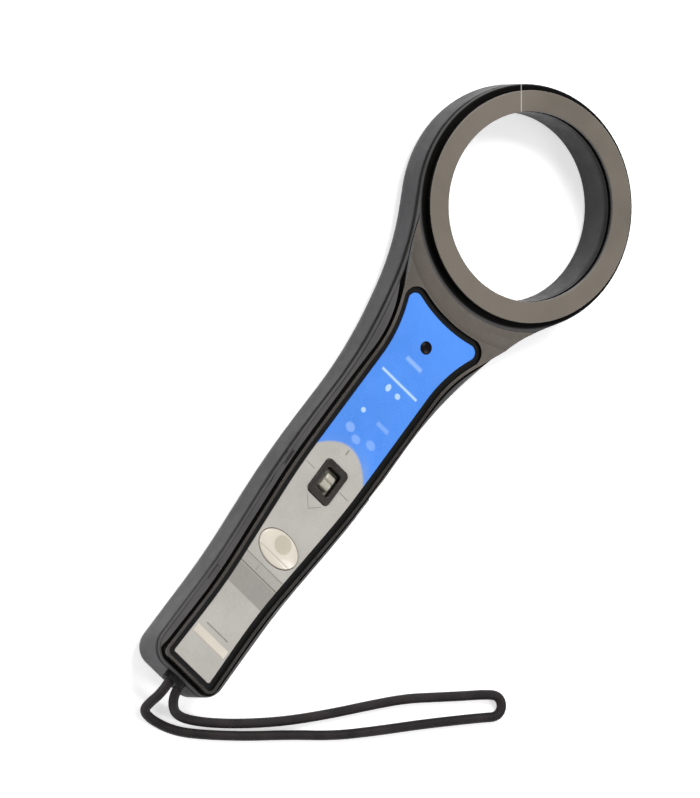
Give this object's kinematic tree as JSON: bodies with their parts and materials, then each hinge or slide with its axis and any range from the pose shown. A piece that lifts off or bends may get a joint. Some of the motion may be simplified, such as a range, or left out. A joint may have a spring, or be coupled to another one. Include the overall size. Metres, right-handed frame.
{
  "type": "microchip scanner",
  "caption": "Handheld ring-head microchip scanner with a waisted handle, printed panel, slide switch, push button and wrist cord.",
  "frame": {"origin": "centre of the casing's box in plan, on the flat back face the scanner rests on", "axes": "+X across the handle to the right seen from the front, +Y from the handle's end towards the ring, +Z out of the face"},
  "size_m": [0.1811, 0.3124, 0.0244],
  "materials": {
    "casing_back": "satin moulded",
    "casing_front": "satin moulded",
    "cover": "satin painted",
    "bezel": "satin painted",
    "gasket": "matte",
    "overlay": "printed film, blue above and light grey below",
    "lens": "dark tinted",
    "led": "clear red",
    "switch_dark": "satin",
    "knob": "satin",
    "switch_metal": "tinned",
    "button": "glossy ivory",
    "board": "green solder mask",
    "chip": "matte epoxy",
    "ceramic": "ceramic",
    "connector": "natural nylon",
    "copper": "enamelled copper",
    "bobbin": "satin",
    "wire": "pvc insulation",
    "battery_can": "plain wrapped can",
    "foam": "closed-cell foam",
    "steel": "zinc plated",
    "sleeve": "matte",
    "cord": "braided polyester"
  },
  "bodies": {
    "scanner": {"rear_shell": "casing_back", "front_shell": "casing_front", "ring_cover": "cover", "face_bezel": "bezel", "panel_gasket": "gasket", "panel_overlay": "overlay", "indicator_lens": "lens", "indicator_led": "led", "switch_frame": "switch_dark", "slide_switch_body": "switch_metal", "tact_switch_body": "switch_dark", "main_board": "board", "controller_chip": "chip", "reader_chip": "chip", "quartz_crystal": "switch_metal", "tuning_capacitors": "ceramic", "filter_capacitor": "switch_metal", "antenna_connector": "connector", "battery_connector": "connector", "buzzer": "chip", "antenna_coil": "copper", "coil_former": "bobbin", "antenna_leads": "wire", "battery": "battery_can", "battery_terminals": "switch_metal", "battery_snap": "switch_dark", "battery_leads": "wire", "battery_pad": "foam", "door_hinge_pin": "steel", "lanyard_pin": "steel", "case_screws": "steel", "board_screws": "steel", "cord_sleeve": "sleeve", "wrist_cord": "cord"},
    "slide_knob": {"slide_knob": "knob", "slide_actuator": "switch_dark"},
    "push_button": {"push_button": "button", "tact_plunger": "switch_dark"},
    "battery_door": {"battery_door": "casing_back"}
  },
  "joints": [
    {"name": "slide_switch", "type": "slide", "parent": "scanner", "child": "slide_knob", "axis": [0, 1, 0], "range_m": [-0.002, 0.002]},
    {"name": "button_press", "type": "slide", "parent": "scanner", "child": "push_button", "axis": [0, 0, -1], "range_m": [0, 0.0008], "stiffness_N_per_m": 1200, "springref_m": -0.0006},
    {"name": "battery_door_hinge", "type": "hinge", "parent": "scanner", "child": "battery_door", "pos_m": [0, -0.0912, 0.0011], "axis": [1, 0, 0], "range_deg": [0, 90]}
  ]
}
